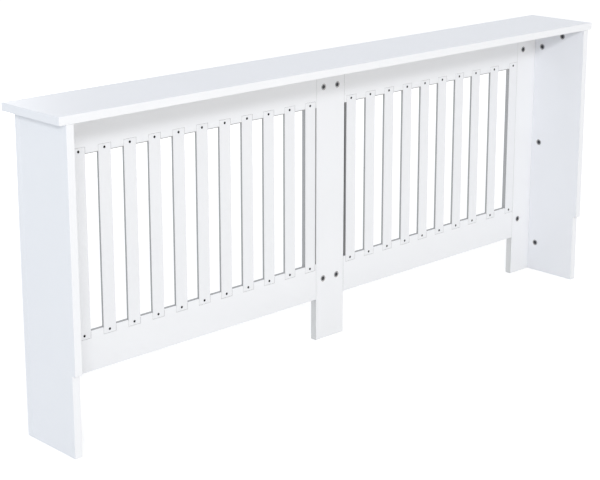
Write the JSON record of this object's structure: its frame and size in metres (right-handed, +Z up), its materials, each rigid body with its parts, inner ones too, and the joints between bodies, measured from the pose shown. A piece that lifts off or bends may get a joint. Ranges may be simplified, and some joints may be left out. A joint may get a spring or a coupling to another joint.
{
  "type": "radiator cover cabinet",
  "caption": "White slatted radiator cover: a flat top on two side panels and a framed front of two vertical-slat grilles, joined by cam locks and open at the wall side and underneath.",
  "frame": {"origin": "middle of the footprint on the floor", "axes": "+X along the length, to the right as seen from the room; +Y towards the wall, which is the open side; +Z up"},
  "size_m": [1.72, 0.2, 0.715],
  "materials": {
    "painted_board": "white satin paint on medium-density fibreboard",
    "painted_slat": "white satin paint on thin fibreboard",
    "cast_zinc": "dull grey die-cast zinc",
    "plated_steel": "bright zinc-plated steel"
  },
  "bodies": {
    "root": {"top_board_right": "painted_board", "top_board_left": "painted_board", "side_panel_right": "painted_board", "side_panel_left": "painted_board", "stile_right": "painted_board", "stile_centre": "painted_board", "stile_left": "painted_board", "grille_panel_right": "painted_board", "grille_panel_left": "painted_board", "slat_right_01": "painted_slat", "slat_right_02": "painted_slat", "slat_right_03": "painted_slat", "slat_right_04": "painted_slat", "slat_right_05": "painted_slat", "slat_right_06": "painted_slat", "slat_right_07": "painted_slat", "slat_right_08": "painted_slat", "slat_right_09": "painted_slat", "slat_right_10": "painted_slat", "slat_right_11": "painted_slat", "slat_left_01": "painted_slat", "slat_left_02": "painted_slat", "slat_left_03": "painted_slat", "slat_left_04": "painted_slat", "slat_left_05": "painted_slat", "slat_left_06": "painted_slat", "slat_left_07": "painted_slat", "slat_left_08": "painted_slat", "slat_left_09": "painted_slat", "slat_left_10": "painted_slat", "cam_centre_right_upper": "cast_zinc", "cam_centre_right_lower": "cast_zinc", "cam_centre_left_upper": "cast_zinc", "cam_centre_left_lower": "cast_zinc", "cam_end_right_upper": "cast_zinc", "cam_end_right_lower": "cast_zinc", "cam_end_left_upper": "cast_zinc", "cam_end_left_lower": "cast_zinc", "cam_side_right_upper": "cast_zinc", "cam_side_right_middle": "cast_zinc", "cam_side_right_lower": "cast_zinc", "cam_side_left_upper": "cast_zinc", "cam_side_left_middle": "cast_zinc", "cam_side_left_lower": "cast_zinc", "cam_top_right": "cast_zinc", "cam_top_left": "cast_zinc", "bolt_centre_right_upper": "plated_steel", "bolt_centre_right_lower": "plated_steel", "bolt_centre_left_upper": "plated_steel", "bolt_centre_left_lower": "plated_steel", "bolt_end_right_upper": "plated_steel", "bolt_end_right_lower": "plated_steel", "bolt_end_left_upper": "plated_steel", "bolt_end_left_lower": "plated_steel", "bolt_side_right_upper": "plated_steel", "bolt_side_right_middle": "plated_steel", "bolt_side_right_lower": "plated_steel", "bolt_side_left_upper": "plated_steel", "bolt_side_left_middle": "plated_steel", "bolt_side_left_lower": "plated_steel"}
  },
  "joints": []
}
